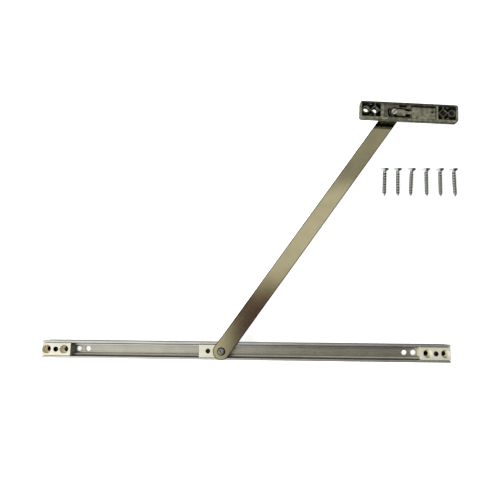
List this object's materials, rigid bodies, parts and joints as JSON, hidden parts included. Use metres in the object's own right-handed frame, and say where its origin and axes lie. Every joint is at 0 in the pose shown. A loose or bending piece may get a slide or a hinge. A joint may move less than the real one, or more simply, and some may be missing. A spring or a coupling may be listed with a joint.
{
  "type": "friction stay hinge",
  "caption": "Window friction stay: flat arm pivoting on a shoe that slides in a channel track, with a quick-release sash bracket and loose fixing screws.",
  "frame": {"origin": "centre of the track's flat underside, which is the face that is screwed to the window frame", "axes": "+X along the track, +Y across it towards the sash bracket as drawn, +Z out of the channel, away from the window frame"},
  "size_m": [0.3696, 0.2291, 0.0274],
  "materials": {
    "anodised_track": "satin",
    "polished_arm": "satin",
    "cast_bracket": "satin",
    "cream_nylon": "satin",
    "zinc_screw": "satin",
    "brass_insert": "satin",
    "dark_polymer": "matte",
    "spring_wire": "satin"
  },
  "bodies": {
    "track": {"track": "anodised_track", "end_block_left": "cream_nylon", "end_block_right": "cream_nylon", "block_set_screw_left": "zinc_screw", "block_set_screw_right": "zinc_screw", "fixing_screw_1": "zinc_screw", "fixing_screw_2": "zinc_screw", "fixing_screw_3": "zinc_screw", "fixing_screw_4": "zinc_screw", "fixing_screw_5": "zinc_screw", "fixing_screw_6": "zinc_screw"},
    "slider": {"slider_body": "cream_nylon", "friction_insert": "brass_insert", "friction_pad": "dark_polymer", "pivot_rivet": "zinc_screw", "pivot_washer": "dark_polymer"},
    "adjuster": {"friction_screw": "zinc_screw"},
    "arm": {"arm": "polished_arm", "arm_pin": "zinc_screw", "bracket_washer": "dark_polymer"},
    "bracket": {"bracket_housing": "cast_bracket", "cover_plate": "cast_bracket", "cover_rivet": "zinc_screw", "catch_spring": "spring_wire"},
    "catch": {"catch_slide": "cast_bracket"}
  },
  "joints": [
    {"name": "slider_travel", "type": "slide", "parent": "track", "child": "slider", "axis": [1, 0, 0], "range_m": [-0.11, 0.165]},
    {"name": "adjuster_turn", "type": "hinge", "parent": "slider", "child": "adjuster", "pos_m": [-0.0314, 0, 0.0072], "axis": [0, 0, 1], "range_deg": [-180, 180]},
    {"name": "arm_swing", "type": "hinge", "parent": "slider", "child": "arm", "pos_m": [-0.0198, 0, 0.0155], "axis": [0, 0, 1], "range_deg": [-54.5, 125.5]},
    {"name": "bracket_swing", "type": "hinge", "parent": "arm", "child": "bracket", "pos_m": [0.13118, 0.21167, 0.02], "axis": [0, 0, 1], "range_deg": [-122.7, 57.3]},
    {"name": "catch_release", "type": "slide", "parent": "bracket", "child": "catch", "axis": [0.9988, -0.0488, 0], "range_m": [0, 0.003], "stiffness_N_per_m": 250, "springref_m": -0.003, "deforming": ["catch_spring"]}
  ]
}
